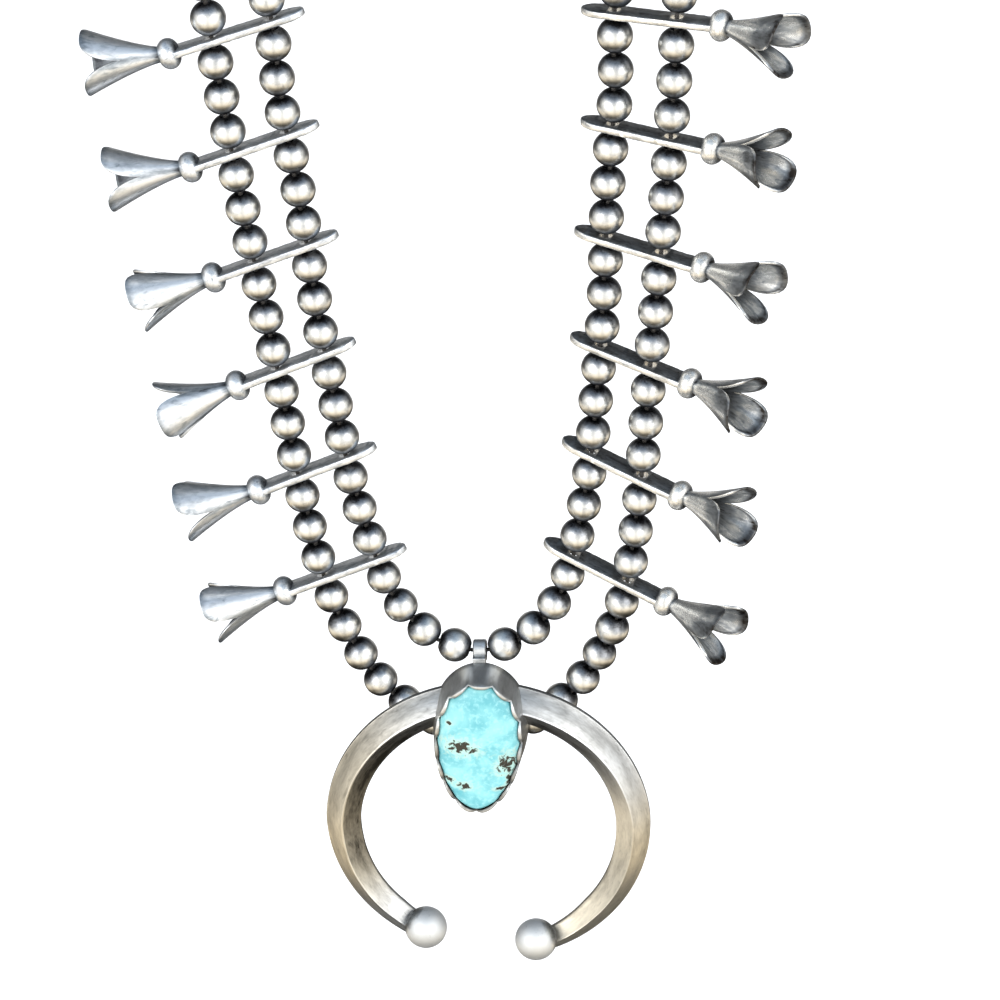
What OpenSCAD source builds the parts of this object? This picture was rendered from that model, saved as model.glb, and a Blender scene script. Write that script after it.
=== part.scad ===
// Squash blossom necklace: two strings of round silver beads, twelve three-petalled
// blossoms whose flat shanks cross both strings, and a crescent pendant (naja) with a
// turquoise in a tall scalloped bezel.
// Frame: +Z up, the front faces -Y, +X is the viewer's right. The origin is the middle
// of the clasp at the nape. Lengths are millimetres and angles are degrees.

/* [Strings] */
// Diameter of a round bead
bead_d = 6.8; // [6.6:0.05:6.8]
// Gap between neighbouring beads
bead_gap = 0.18; // [0.18:0.01:0.2]
// Gap between the lowest beads of the inner string, where it turns sharply at the bail
inner_low_gap = 0.34; // [0.32:0.01:0.4]
// Gap between the lowest beads of the outer string
outer_low_gap = 0.24; // [0.24:0.01:0.35]
// Bore through a bead
bead_bore_d = 2.2; // [1.8:0.1:2.4]
// Thickness of the threads
thread_d = 0.8; // [0.6:0.05:0.9]
// Room that a shank takes on the inner string
inner_room = 1.85; // [1.8:0.05:1.9]
// Room that a shank takes on the left half of the outer string
outer_room_left = 1.95; // [1.9:0.05:2.3]
// Room that a shank takes on the right half of the outer string
outer_room_right = 2.6; // [1.9:0.05:2.7]
// How far the right half of the outer string stands in front of the inner string
outer_forward = 4.5; // [0:0.5:5]
// Beads between one blossom and the next
beads_between = 3; // [3:1:3]
// Beads of the inner string between the bail and the lowest blossom
inner_beads_low = 4; // [4:1:4]
// Beads of the outer string between its lowest point and the lowest blossom
outer_beads_low = 7; // [7:1:7]
// Beads of the inner string between the top blossom and the clasp
inner_beads_back = 26; // [20:1:26]
// Beads of the outer string between the top blossom and the clasp
outer_beads_back = 27; // [20:1:27]

/* [Blossoms] */
// Blossoms on each side
blossoms = 6; // [6:1:6]
// Thickness of a shank
shank_t = 1.4; // [1.2:0.05:1.4]
// Depth of a shank, from front to back
shank_w = 5; // [4:0.1:6]
// Length of a shank past the inner string, to its tip
shank_tip = 6.8; // [6:0.1:8]
// Length of a shank past the outer string, to the middle of its bead
shank_reach = 8.6; // [8:0.1:10]
// Diameter of the bead on a shank
shank_bead_d = 6; // [5:0.1:6.2]
// Length of the bead on a shank
shank_bead_l = 3.9; // [3.8:0.1:4.8]
// Length of a flower from its bead to the petal tips
flower_l = 14.5; // [13:0.5:17]
// Diameter of a flower at its neck
flower_neck_d = 2.9; // [2.6:0.1:3.4]
// Diameter of a flower across its mouth
flower_mouth_d = 13; // [11:0.1:13.5]
// How strongly the sides of a flower curve outward
flower_curve = 1.3; // [1:0.1:2.2]
// Forward bend of the right flowers on their shanks
right_bend = 18; // [0:1:20]
// Thickness of the petals
petal_t = 0.6; // [0.5:0.05:0.8]
// Depth of the notches between the petals
petal_notch = 6.8; // [5:0.1:9]

/* [Naja] */
// Outer width of the crescent
naja_w = 65.8; // [63:0.2:67]
// Width of an arm beside the stone
arm_w_top = 7.8; // [7:0.1:8.4]
// Width of an arm at its middle
arm_w_side = 6.9; // [6:0.1:7.5]
// Width of an arm at its end
arm_w_end = 4.5; // [3.6:0.1:4.8]
// How far the left arm's end bends inward from a true circle
arm_in_left = 1.8; // [0:0.1:2]
// How far the right arm's end bends inward from a true circle
arm_in_right = 0.9; // [0:0.1:2]
// Height of the ridge above the back
arm_h = 4.6; // [4:0.1:5.2]
// Height of the ridge at the arm's end
arm_h_end = 3; // [2.6:0.1:3.4]
// Height of the arm's edges
arm_edge_h = 1; // [0.8:0.1:1.4]
// Diameter of the ball ends
ball_d = 8.6; // [8:0.1:9]
// Angle of the left ball from the lowest point
ball_angle_left = 31; // [28:1:32]
// Angle of the right ball from the lowest point
ball_angle_right = 18.2; // [16:0.2:20]

/* [Stone] */
// Width of the bezel's rim
bezel_w = 17.6; // [17:0.1:18]
// Length of the bezel's rim
bezel_l = 29.6; // [29:0.1:30]
// Height of the bezel above the naja's back
bezel_h = 8.4; // [8:0.1:9]
// Spread of the bezel's wall at its foot
bezel_flare = 0.75; // [0.6:0.05:0.9]
// Thickness of the bezel's wall at the rim
bezel_t = 0.6; // [0.5:0.05:0.7]
// Thickness of the plate under the stone
plate_t = 1.2; // [1:0.1:1.6]
// Number of scallops round the rim
scallops = 15; // [13:1:17]
// Depth of the notches between the scallops
scallop_h = 0.9; // [0.6:0.1:1.2]
// How far the stone rises above the rim
stone_rise = 1.6; // [1.2:0.1:2]
// Lean of the bezel and the stone to the side
bezel_lean = 4.5; // [3:0.5:6]

/* [Bail and clasp] */
// Outer diameter of the bail tube
bail_d = 4.4; // [4.2:0.1:4.6]
// Inner diameter of the bail tube
bail_bore_d = 3.2; // [3:0.1:3.4]
// Length of the bail tube
bail_l = 2.6; // [2.4:0.1:2.7]
// Length of the clasp
clasp_l = 17.6; // [16:0.2:17.8]
// Diameter of the clasp's two barrels
clasp_d = 5; // [4.5:0.1:5.6]

/* [Hidden] */
$fn = 48;
silver = "Silver";
eps = 0.01;

// The front of the necklace hangs in one upright plane
front_y = -118;
// Height of the bail, where the naja hangs from the inner string
bail_z = -200;
// The naja's back stays in front of the outer string, which passes behind it
naja_back = 3.7;
naja_y = front_y - naja_back;
naja_z = bail_z - 37.9;

pitch = bead_d + bead_gap;
strand_z = 4.5;

// Routes of the strings, from the middle of the front to the clasp, on the right-hand
// side. In front they lie in the hanging plane, as x and the height above the bail.
inner_front = [[0, 0], [5, 0.9], [10.4, 4], [14.8, 9.4], [18.3, 16.6], [20.6, 26.1], [23.4, 38.9],
    [25.3, 55.4], [27.7, 76.2], [29.2, 98.9], [31.6, 120], [32.4, 139]];
outer_front = [[0, -18.6], [6.6, -17.3], [12.8, -14], [18.1, -9.5], [24.2, 0.1], [28.9, 12.4], [32, 27.3],
    [34.1, 43.6], [36, 62.2], [38.5, 82.6], [41, 104.5], [43, 126], [44.6, 142.6]];
// From the collar on they run back over the shoulders and meet in the clasp
inner_back = [[38.5, -113, -40], [48, -94, -20], [56, -64, -6], [54, -32, 1],
    [38, -9, 3.6], [18, -0.5, strand_z], [0, 0, strand_z]];
outer_back = [[50.5, -113, -40], [59.5, -93, -22], [66, -62, -10], [63, -30, -5],
    [45.4, -8, -4.2], [20, -0.5, -strand_z], [0, 0, -strand_z]];

// Share of the forward distance that the right half has reached at a height above the bail
forward_share = [[-5, 0], [12, 0.8], [28, 1], [126, 1], [143, 0.7]];

// Turn of each flower about its own axis, from the top blossom down
left_roll = [105, 105, 70, 30, 85, 75];
right_roll = [105, 35, 105, 35, 35, 105];
// Upward bend of each flower on its shank, from the top blossom down
left_lift = [12, 11, 3, 0, 6, 4];
right_lift = [0, 9, 6, 10, 16, 10];

spline_steps = 10;

function mirrored(p) = [-p.x, p.y, p.z];
function in_front(points, forward = 0) =
    [for (p = points) [p.x, front_y - forward * lookup(p.y, forward_share), bail_z + p.y]];

// A smooth curve through all points; the other half continues it at both ends
function spline(a, b, c, d, t) =
    0.5 * (2 * b + (c - a) * t + (2 * a - 5 * b + 4 * c - d) * t * t + (3 * b - a - 3 * c + d) * t * t * t);
function curve(points) =
    let (last = len(points) - 1,
        p = concat([mirrored(points[1])], points, [mirrored(points[last - 1])]))
    concat([for (i = [1 : last], k = [0 : spline_steps - 1])
        spline(p[i - 1], p[i], p[i + 1], p[i + 2], k / spline_steps)], [points[last]]);

// Rows of length along the curve and place, so that beads can be set by length
function measured(c) =
    [for (i = 0, s = 0; i < len(c); s = s + (i + 1 < len(c) ? norm(c[i + 1] - c[i]) : 0), i = i + 1)
        [s, c[i]]];
function place(rows, s) =
    [for (axis = [0 : 2]) lookup(s, [for (row = rows) [row[0], row[1][axis]]])];

inner_rows = measured(curve(concat(in_front(inner_front), inner_back)));
outer_rows_left = measured(curve(concat(in_front(outer_front), outer_back)));
outer_rows_right = measured(curve(concat(in_front(outer_front, outer_forward), outer_back)));

// Beads in each run, from the middle of the front to the clasp, with a shank between runs
function runs(low, back) = concat([low], [for (k = [1 : blossoms - 1]) beads_between], [back]);
inner_runs = runs(inner_beads_low, inner_beads_back);
outer_runs = runs(outer_beads_low, outer_beads_back);

// Half a string: its route, where its first bead starts, its pitch in the lowest run, the
// room of a shank, and its runs of beads
ROWS = 0;
FIRST = 1;
LOW_PITCH = 2;
ROOM = 3;
RUNS = 4;
inner_half = [inner_rows, bail_l / 2 + inner_low_gap, bead_d + inner_low_gap, inner_room, inner_runs];
outer_left = [outer_rows_left, 0, bead_d + outer_low_gap, outer_room_left, outer_runs];
outer_right = [outer_rows_right, 0, bead_d + outer_low_gap, outer_room_right, outer_runs];

// Lengths along half a string: where run k starts, and where its bead i starts
function sum_to(list, k) = k == 0 ? 0 : list[k - 1] + sum_to(list, k - 1);
function beads_before(half, k) = sum_to(half[RUNS], k) - half[RUNS][0];
function run_start(half, k) = half[FIRST] + k * half[ROOM]
    + (k == 0 ? 0 : half[RUNS][0] * half[LOW_PITCH] + beads_before(half, k) * pitch);
function bead_end(half, k, i) = run_start(half, k) + i * (k == 0 ? half[LOW_PITCH] : pitch);

// Blossom 1 is the top one, so its shank follows the last run of three
function shank_at(half, blossom) = run_start(half, blossoms + 1 - blossom) - half[ROOM] / 2;
function crossing(half, blossom) = place(half[ROWS], shank_at(half, blossom));

// Turns local +Z to the given direction
module aim(direction) {
    flat = norm([direction.x, direction.y]);
    rotate([0, atan2(flat, direction.z), atan2(direction.y, direction.x)]) children();
}

module bead(from, to) {
    translate((from + to) / 2) aim(to - from) difference() {
        sphere(d = bead_d);
        cylinder(h = 2 * bead_d, d = bead_bore_d, center = true);
    }
}

module half_string(half) {
    for (k = [0 : len(half[RUNS]) - 1], i = [0 : half[RUNS][k] - 1])
        bead(place(half[ROWS], bead_end(half, k, i)), place(half[ROWS], bead_end(half, k, i + 1)));
}

module string_of_beads(left, right) {
    color(silver) {
        half_string(right);
        mirror([1, 0, 0]) half_string(left);
    }
}

module inner_beads() string_of_beads(inner_half, inner_half);
module outer_beads() string_of_beads(outer_left, outer_right);

// A thread bends between the lowest beads, in the shanks, and in the last run between all
// beads where it turns at the collar and the nape, and at every second bead between them
collar_turn = 8;
nape_turn = 9;
function bends(half) = let (last = len(half[RUNS]) - 1, nape = half[RUNS][last] - nape_turn) concat(
    [for (i = [0 : half[RUNS][0]]) bead_end(half, 0, i)],
    [for (number = [blossoms : -1 : 2]) shank_at(half, number)],
    [for (i = [0 : collar_turn]) bead_end(half, last, i)],
    [for (i = [collar_turn + 2 : 2 : nape - 1]) bead_end(half, last, i)],
    [for (i = [nape : half[RUNS][last]]) bead_end(half, last, i)]);

function half_thread(half) = [for (s = bends(half)) if (s > eps) place(half[ROWS], s)];
function thread_path(left, right) =
    let (rows = left[ROWS], back = half_thread(left))
    concat([rows[0][1]], half_thread(right), [rows[len(rows) - 1][1]],
        [for (i = [len(back) - 1 : -1 : 0]) mirrored(back[i])]);

thread_sides = 8;

// One closed tube through all points of a loop
module closed_tube(path, d) {
    n = len(path);
    points = [for (i = [0 : n - 1])
        let (along = path[(i + 1) % n] - path[(i + n - 1) % n],
            t = along / norm(along),
            side = cross(t, abs(t.y) < 0.8 ? [0, 1, 0] : [0, 0, 1]),
            u = side / norm(side),
            v = cross(t, u))
        for (j = [0 : thread_sides - 1])
            let (a = j * 360 / thread_sides)
            path[i] + d / 2 * (cos(a) * u + sin(a) * v)];
    faces = [for (i = [0 : n - 1], j = [0 : thread_sides - 1])
        let (a = i * thread_sides, b = ((i + 1) % n) * thread_sides, next = (j + 1) % thread_sides)
        [a + j, a + next, b + next, b + j]];
    polyhedron(points, faces, convexity = 10);
}

module inner_thread() color("DimGray") closed_tube(thread_path(inner_half, inner_half), thread_d);
module outer_thread() color("DimGray") closed_tube(thread_path(outer_left, outer_right), thread_d);

// Clasp: two barrels on a web, which the threads pass through
module clasp() {
    web_t = clasp_d / 2;
    color(silver) difference() {
        union() {
            for (z = [-strand_z, strand_z])
                translate([0, 0, z]) rotate([0, 90, 0]) cylinder(h = clasp_l, d = clasp_d, center = true);
            cube([clasp_l, web_t, 2 * strand_z], center = true);
        }
        for (z = [-strand_z, strand_z])
            translate([0, 0, z]) rotate([0, 90, 0]) cylinder(h = 2 * clasp_l, d = bead_bore_d, center = true);
    }
}

// Blossom, along local +X with the outer string's crossing at the origin
module shank(span) {
    tip_x = -span - shank_tip;
    nose = shank_w * 0.9;
    color(silver) translate([0, 0, -shank_t / 2]) difference() {
        linear_extrude(shank_t) {
            translate([tip_x + nose, -shank_w / 2]) square([shank_reach - tip_x - nose, shank_w]);
            intersection() {
                translate([tip_x + nose, -shank_w / 2]) circle(r = shank_w);
                translate([tip_x + nose, shank_w / 2]) circle(r = shank_w);
                translate([tip_x - nose, -shank_w]) square([2 * nose + eps, 2 * shank_w]);
            }
        }
        for (x = [0, -span]) translate([x, 0, -shank_t]) cylinder(h = 3 * shank_t, d = bead_bore_d + 0.2);
    }
}

module shank_bead() {
    round_r = shank_bead_l / 2;
    color(silver) translate([shank_reach, 0, 0]) rotate([0, 90, 0]) rotate_extrude() {
        intersection() {
            translate([shank_bead_d / 2 - round_r, 0]) circle(r = round_r);
            translate([0, -round_r]) square([shank_bead_d, 2 * round_r]);
        }
        translate([0, -round_r]) square([shank_bead_d / 2 - round_r, 2 * round_r]);
    }
}

flower_steps = 7;
closed_neck = 0.3;
function flower_r(t) = flower_neck_d / 2 + (flower_mouth_d - flower_neck_d) / 2 * pow(t, flower_curve);

// Trumpet of sheet silver, closed at the neck and open at the mouth
module trumpet() {
    outside = [for (i = [0 : flower_steps]) let (t = i / flower_steps) [flower_r(t), t * flower_l]];
    inside = [for (i = [flower_steps : -1 : 0])
        let (t = closed_neck + (1 - closed_neck) * i / flower_steps)
        [max(flower_r(t) - petal_t, 0), t * flower_l + (i == flower_steps ? eps : 0)]];
    rotate([0, 90, 0]) rotate_extrude()
        polygon(concat([[0, 0]], outside, inside, [[0, closed_neck * flower_l]]));
}

// Notch between two petals: narrow inside, wide at the mouth, which rounds the tips
module petal_notch_shape() {
    mouth = flower_l;
    reach = flower_mouth_d;
    half = [[mouth - petal_notch, 0.12], [mouth - 0.62 * petal_notch, 0.75], [mouth - 0.34 * petal_notch, 1.5],
        [mouth - 0.15 * petal_notch, 2.5], [mouth - 0.04 * petal_notch, 3.6], [mouth + 1, 5]];
    back = [for (i = [len(half) - 1 : -1 : 0]) [half[i].x, -half[i].y]];
    linear_extrude(reach) polygon(concat(half, back));
}

module flower() {
    color(silver) translate([shank_bead_l / 2 - 0.6, 0, 0]) difference() {
        trumpet();
        for (a = [0 : 120 : 240]) rotate([a, 0, 0]) petal_notch_shape();
    }
}

module blossom_at_crossing(span, roll, bend, lift) {
    shank(span);
    shank_bead();
    translate([shank_reach, 0, 0]) rotate([0, -lift, -bend]) rotate([roll, 0, 0]) flower();
}

module blossom(side, number) {
    inner = crossing(inner_half, number);
    outer = crossing(side < 0 ? outer_left : outer_right, number);
    along = outer - inner;
    fall = atan2(-along.z, norm([along.x, along.y]));
    if (side > 0)
        translate(outer) rotate([0, fall, atan2(along.y, along.x)])
            blossom_at_crossing(norm(along), right_roll[number - 1], right_bend, right_lift[number - 1]);
    else
        translate(mirrored(outer)) rotate([0, 180 - fall, 0])
            blossom_at_crossing(norm(along), left_roll[number - 1], 0, -left_lift[number - 1]);
}

// Naja: angles are measured from the top of the crescent
arm_steps = 24;
arm_end_lap = 3;
function arm_w(a) = lookup(a, [[0, arm_w_top], [30, arm_w_top], [95, arm_w_side], [135, 0.86 * arm_w_side],
    [160, arm_w_end]]);
function ridge_h(a) = lookup(a, [[0, arm_h], [110, arm_h], [160, arm_h_end]]);

// Outer radius of an arm, which bends inward towards its end
function arm_r(side, a) = naja_w / 2
    - (side < 0 ? arm_in_left : arm_in_right) * lookup(a, [[0, 0], [85, 0], [110, 0.4], [135, 0.75], [160, 1]]);

// One section of an arm: flat back, low edges and a ridge along the middle
function arm_section(side, a) =
    let (outer_r = arm_r(side, a), inner_r = outer_r - arm_w(a), mid_r = (outer_r + inner_r) / 2,
        shape = [[inner_r, 0], [inner_r, arm_edge_h], [(inner_r + mid_r) / 2, 0.62 * ridge_h(a)],
            [mid_r, ridge_h(a)], [(outer_r + mid_r) / 2, 0.66 * ridge_h(a)],
            [outer_r, arm_edge_h], [outer_r, 0]])
    [for (p = shape) [side * p.x * sin(a), -p.y, p.x * cos(a)]];

module crescent() {
    left_end = 180 - ball_angle_left - arm_end_lap;
    right_end = 180 - ball_angle_right - arm_end_lap;
    rings = concat(
        [for (i = [arm_steps : -1 : 0]) arm_section(-1, left_end * i / arm_steps)],
        [for (i = [1 : arm_steps]) arm_section(1, right_end * i / arm_steps)]);
    n = len(rings[0]);
    last = (len(rings) - 1) * n;
    sides = [for (i = [0 : len(rings) - 2], j = [0 : n - 1])
        [i * n + j, i * n + (j + 1) % n, (i + 1) * n + (j + 1) % n, (i + 1) * n + j]];
    polyhedron([for (ring = rings) each ring],
        concat(sides, [[for (j = [n - 1 : -1 : 0]) j]], [[for (j = [0 : n - 1]) last + j]]), convexity = 10);
}

module ball_end(side, angle) {
    ball_r = arm_r(side, 180 - angle) - arm_w_end;
    translate([side * ball_r * sin(angle), -arm_h_end, -ball_r * cos(angle)]) sphere(d = ball_d);
}

// Outline of the bezel and stone: an egg with its point down, grown or shrunk by a margin
egg_steps = 48;
function egg(margin) = [for (i = [0 : egg_steps - 1])
    let (a = i * 360 / egg_steps, half_w = bezel_w / 2 + margin, half_l = bezel_l / 2 + margin)
    [half_w * cos(a) * (1 + 0.13 * sin(a)), half_l * sin(a)]];

// A solid lofted through rings, each an outline margin and its height
module egg_loft(levels) {
    n = egg_steps;
    last = (len(levels) - 1) * n;
    points = [for (level = levels) each [for (p = egg(level[0])) [p.x, -level[1], p.y]]];
    sides = [for (i = [0 : len(levels) - 2], j = [0 : n - 1])
        [i * n + j, (i + 1) * n + j, (i + 1) * n + (j + 1) % n, i * n + (j + 1) % n]];
    polyhedron(points,
        concat(sides, [[for (j = [0 : n - 1]) j]], [[for (j = [n - 1 : -1 : 0]) last + j]]), convexity = 4);
}

// The bezel and the stone share one place and lean
module at_bezel() {
    translate([-0.5, 0, bail_z - naja_z - 16.2]) rotate([0, bezel_lean, 0]) children();
}

module bezel() egg_loft([[bezel_flare, 0], [0, bezel_h]]);

// Room for the stone, and the notches between the scallops of the rim
module stone_room() {
    egg_loft([[-bezel_t, plate_t], [-bezel_t, bezel_h + 1]]);
    for (i = [0 : scallops - 1]) {
        a = (i + 0.5) * 360 / scallops + 90;
        translate([0, -bezel_h, 0]) rotate([0, -a, 0]) translate([bezel_w / 4, 0, 0])
            rotate([0, 90, 0]) cylinder(h = bezel_l, r = scallop_h);
    }
}

// Bail: a short tube on a strap that is soldered to the back
module bail() {
    strap_t = naja_back - bail_d / 2 + 0.5;
    strap_l = 9;
    difference() {
        union() {
            rotate([0, 90, 0]) cylinder(h = bail_l, d = bail_d, center = true);
            translate([-bail_l / 2, -naja_back - 0.2, -strap_l]) cube([bail_l, strap_t, strap_l + 0.2]);
        }
        rotate([0, 90, 0]) cylinder(h = 2 * bail_l, d = bail_bore_d, center = true);
    }
}

module naja() {
    color(silver) {
        translate([0, naja_y, naja_z]) difference() {
            union() {
                crescent();
                ball_end(-1, ball_angle_left);
                ball_end(1, ball_angle_right);
                at_bezel() bezel();
            }
            at_bezel() stone_room();
        }
        translate([0, front_y, bail_z]) bail();
    }
}

// Turquoise: upright sides inside the bezel and a low dome above it
stone_gap = 0.12;
module turquoise() {
    foot = plate_t + stone_gap;
    side = -bezel_t - stone_gap;
    dome = [for (t = [0 : 0.125 : 1])
        [side - 7.6 * (1 - cos(82 * t)), bezel_h - 1.4 + (stone_rise + 1.4) * sin(90 * t)]];
    color("MediumTurquoise") translate([0, naja_y, naja_z])
        at_bezel() egg_loft(concat([[side, foot]], dome));
}

naja();
turquoise();
inner_beads();
outer_beads();
inner_thread();
outer_thread();
clasp();
blossom(-1, 1);  // blossom_left_1
blossom(-1, 2);  // blossom_left_2
blossom(-1, 3);  // blossom_left_3
blossom(-1, 4);  // blossom_left_4
blossom(-1, 5);  // blossom_left_5
blossom(-1, 6);  // blossom_left_6
blossom(1, 1);  // blossom_right_1
blossom(1, 2);  // blossom_right_2
blossom(1, 3);  // blossom_right_3
blossom(1, 4);  // blossom_right_4
blossom(1, 5);  // blossom_right_5
blossom(1, 6);  // blossom_right_6
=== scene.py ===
import math
from collections import namedtuple

import bmesh
import bpy
from mathutils import Matrix, Vector, noise


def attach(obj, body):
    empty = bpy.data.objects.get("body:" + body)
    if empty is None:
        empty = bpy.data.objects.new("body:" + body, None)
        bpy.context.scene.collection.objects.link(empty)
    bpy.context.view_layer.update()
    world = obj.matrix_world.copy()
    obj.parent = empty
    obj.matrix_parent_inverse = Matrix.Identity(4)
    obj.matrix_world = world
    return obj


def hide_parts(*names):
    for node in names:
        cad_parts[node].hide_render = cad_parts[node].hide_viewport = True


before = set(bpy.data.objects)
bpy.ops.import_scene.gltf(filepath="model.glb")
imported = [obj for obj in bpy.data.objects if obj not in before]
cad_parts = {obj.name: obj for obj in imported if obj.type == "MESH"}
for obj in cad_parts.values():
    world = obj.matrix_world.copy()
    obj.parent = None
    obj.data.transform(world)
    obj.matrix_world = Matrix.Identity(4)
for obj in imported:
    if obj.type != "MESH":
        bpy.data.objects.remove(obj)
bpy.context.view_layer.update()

# Squash blossom necklace. Shapes are worked out in millimetres with the solids' own
# measures and written to the meshes in metres. Every point of a modelled piece has a patina
# value, its tarnish together with painted shade and painted highlights, and a grain place, the
# coordinates that the fine texture follows. In a grain or noise place, a factor sets the scale,
# and an added number keeps one piece from repeating another.
MM = 0.001
WELD_DISTANCE = 1e-7
TINY = 1e-6
STRANDS = "strands"
PENDANT = "pendant"

# Beads, and the gaps between them above and below the lowest blossoms
BEAD_D = 6.8
BORE_D = 2.2
PITCH = BEAD_D + 0.18
INNER_LOW_GAP = 0.34
OUTER_LOW_GAP = 0.24
BEAD_SEGMENTS = 26
BEAD_ARC = 15
BEAD_LIP_R = 1.45
BEAD_SPIN = 137.5

# Room that a shank takes on each string, and how far the right half of the outer string
# stands in front of the inner one, with its share by height above the bail
INNER_ROOM = 1.85
OUTER_ROOM_LEFT = 1.95
OUTER_ROOM_RIGHT = 2.6
OUTER_FORWARD = 4.5
FORWARD_SHARE = [(-5, 0), (12, 0.8), (28, 1), (126, 1), (143, 0.7)]

# Routes of the right halves: in front (x, height above the bail), then behind (x, y, z)
FRONT_Y = -118
BAIL_Z = -200
STRAND_Z = 4.5
SPLINE_STEPS = 10
INNER_FRONT = [(0, 0), (5, 0.9), (10.4, 4), (14.8, 9.4), (18.3, 16.6), (20.6, 26.1), (23.4, 38.9),
               (25.3, 55.4), (27.7, 76.2), (29.2, 98.9), (31.6, 120), (32.4, 139)]
OUTER_FRONT = [(0, -18.6), (6.6, -17.3), (12.8, -14), (18.1, -9.5), (24.2, 0.1), (28.9, 12.4),
               (32, 27.3), (34.1, 43.6), (36, 62.2), (38.5, 82.6), (41, 104.5), (43, 126), (44.6, 142.6)]
INNER_BACK = [(38.5, -113, -40), (48, -94, -20), (56, -64, -6), (54, -32, 1),
              (38, -9, 3.6), (18, -0.5, STRAND_Z), (0, 0, STRAND_Z)]
OUTER_BACK = [(50.5, -113, -40), (59.5, -93, -22), (66, -62, -10), (63, -30, -5),
              (45.4, -8, -4.2), (20, -0.5, -STRAND_Z), (0, 0, -STRAND_Z)]

# Beads between one blossom and the next, from the middle of the front to the clasp
BLOSSOMS = 6
INNER_RUNS = [4, 3, 3, 3, 3, 3, 26]
OUTER_RUNS = [7, 3, 3, 3, 3, 3, 27]

# Shanks and their beads
SHANK_T = 1.4
SHANK_W = 5
SHANK_TIP = 6.8
SHANK_REACH = 8.6
SHANK_NOSE = SHANK_W * 0.9
SHANK_BLUNT = 0.25
SHANK_BEVEL = 0.28
SHANK_DENT = 0.09
SHANK_EDGE_PATINA = 0.05
SHANK_FACE_SHADE = 1.3
NOSE_STEPS = 10
EDGE_STEPS = 34
SHANK_BEAD_D = 6
SHANK_BEAD_L = 3.9
SHANK_BEAD_SEGMENTS = 30
DRILL_D = BORE_D + 0.2
DRILL_SEGMENTS = 24

# Flowers: the rim's rounding is (distance back from the rim, distance in from the outside)
FLOWER_L = 14.5
FLOWER_NECK_D = 2.9
FLOWER_MOUTH_D = 13
FLOWER_CURVE = 1.3
FLOWER_ROWS = 20
FLOWER_LAP = 0.6
PETALS = 3
PETAL_HALF = 60
PETAL_T = 0.6
PETAL_NOTCH = 6.8
PETAL_FOLD = 0.22
PETAL_SHARES = [0, 0.14, 0.28, 0.4, 0.52, 0.63, 0.72, 0.8, 0.86, 0.91, 0.95, 0.98]
NOTCH_POWER = 3.9
RIM_BACK = 0.2
RIM_ROUNDING = [(RIM_BACK, 0.0), (0.06, 0.08), (0.0, 0.2), (0.0, 0.4), (0.06, 0.52), (RIM_BACK, PETAL_T)]
NECK_CLOSED_TO = 0.3 * FLOWER_L
NECK_MIN_R = 0.25

# Naja and bezel: arm tables go by degrees from the crescent's top
NAJA_BACK = 3.7
NAJA_Y = FRONT_Y - NAJA_BACK
NAJA_Z = BAIL_Z - 37.9
NAJA_R = 32.9
BALL_D = 8.6
BALL_RINGS = 22
BALL_SEGMENTS = 40
BALL_PATINA = -0.18
BALL_ANGLE_LEFT = 31
BALL_ANGLE_RIGHT = 18.2
ARM_W_END = 4.5
ARM_WIDTHS = [(0, 7.8), (30, 7.8), (95, 6.9), (135, 5.93), (160, ARM_W_END)]
ARM_IN_LEFT = 1.8
ARM_IN_RIGHT = 0.9
ARM_IN_SHARE = [(0, 0), (85, 0), (110, 0.4), (135, 0.75), (160, 1)]
ARM_H_END = 3
ARM_EDGE_H = 1
RIDGE_HEIGHTS = [(0, 4.6), (110, 4.6), (160, ARM_H_END)]
ARM_END_LAP = 3
ARM_RINGS = 150
ARM_GRAIN = 0.13
ARM_WAVE = 0.05
BEZEL_W = 17.6
BEZEL_L = 29.6
BEZEL_H = 8.4
BEZEL_FLARE = 0.75
BEZEL_T = 0.6
BEZEL_LEAN = 4.5
BEZEL_X = -0.5
BEZEL_DROP = 16.2
BEZEL_FOOT = 0.05
BEZEL_WALL_ROWS = 9
EGG_TAPER = 0.13
EGG_STEPS = 720
PLATE_T = 1.2
SCALLOPS = 15
SCALLOP_POINTS = 14
SCALLOP_DEPTH = 1.3

# Stone and bail
STONE_GAP = 0.12
STONE_RISE = 1.6
STONE_SIDE_BELOW_RIM = 1.4
STONE_FULLNESS = 0.92
STONE_TOP_SCALE = 0.01
STONE_UNEVEN = 0.1
STONE_COLUMNS = 108
STONE_DOME_ROWS = 26
BAIL_D = 4.4
BAIL_BORE_D = 3.2
BAIL_L = 2.6
BAIL_SEGMENTS = 40
STRAP_L = 9
STRAP_BEVEL = 0.25


def lookup(value, table):
    """Linear interpolation in a table of (key, value) pairs, held at both ends."""
    if value <= table[0][0]:
        return table[0][1]
    for (k0, v0), (k1, v1) in zip(table, table[1:]):
        if value <= k1:
            return v0 + (v1 - v0) * (value - k0) / (k1 - k0)
    return table[-1][1]


def smooth(value, low, high):
    """0 below low, 1 above high, and a smooth step between them."""
    t = min(max((value - low) / (high - low), 0.0), 1.0)
    return t * t * (3 - 2 * t)


def turn(degrees, axis):
    """A rotation about a local axis."""
    return Matrix.Rotation(math.radians(degrees), 4, axis)


def shift(x, y=0, z=0):
    """A move along the local axes."""
    return Matrix.Translation((x, y, z))


def aim(direction):
    """Turns local Z to a direction."""
    return direction.to_track_quat("Z", "Y").to_matrix().to_4x4()


def mirrored(p):
    """The same place on the necklace's other side."""
    return Vector((-p.x, p.y, p.z))


# Routes of the strings

def in_front(points, forward):
    """Places of a route's front, with its forward share added."""
    return [Vector((x, FRONT_Y - forward * lookup(h, FORWARD_SHARE), BAIL_Z + h)) for x, h in points]


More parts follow.
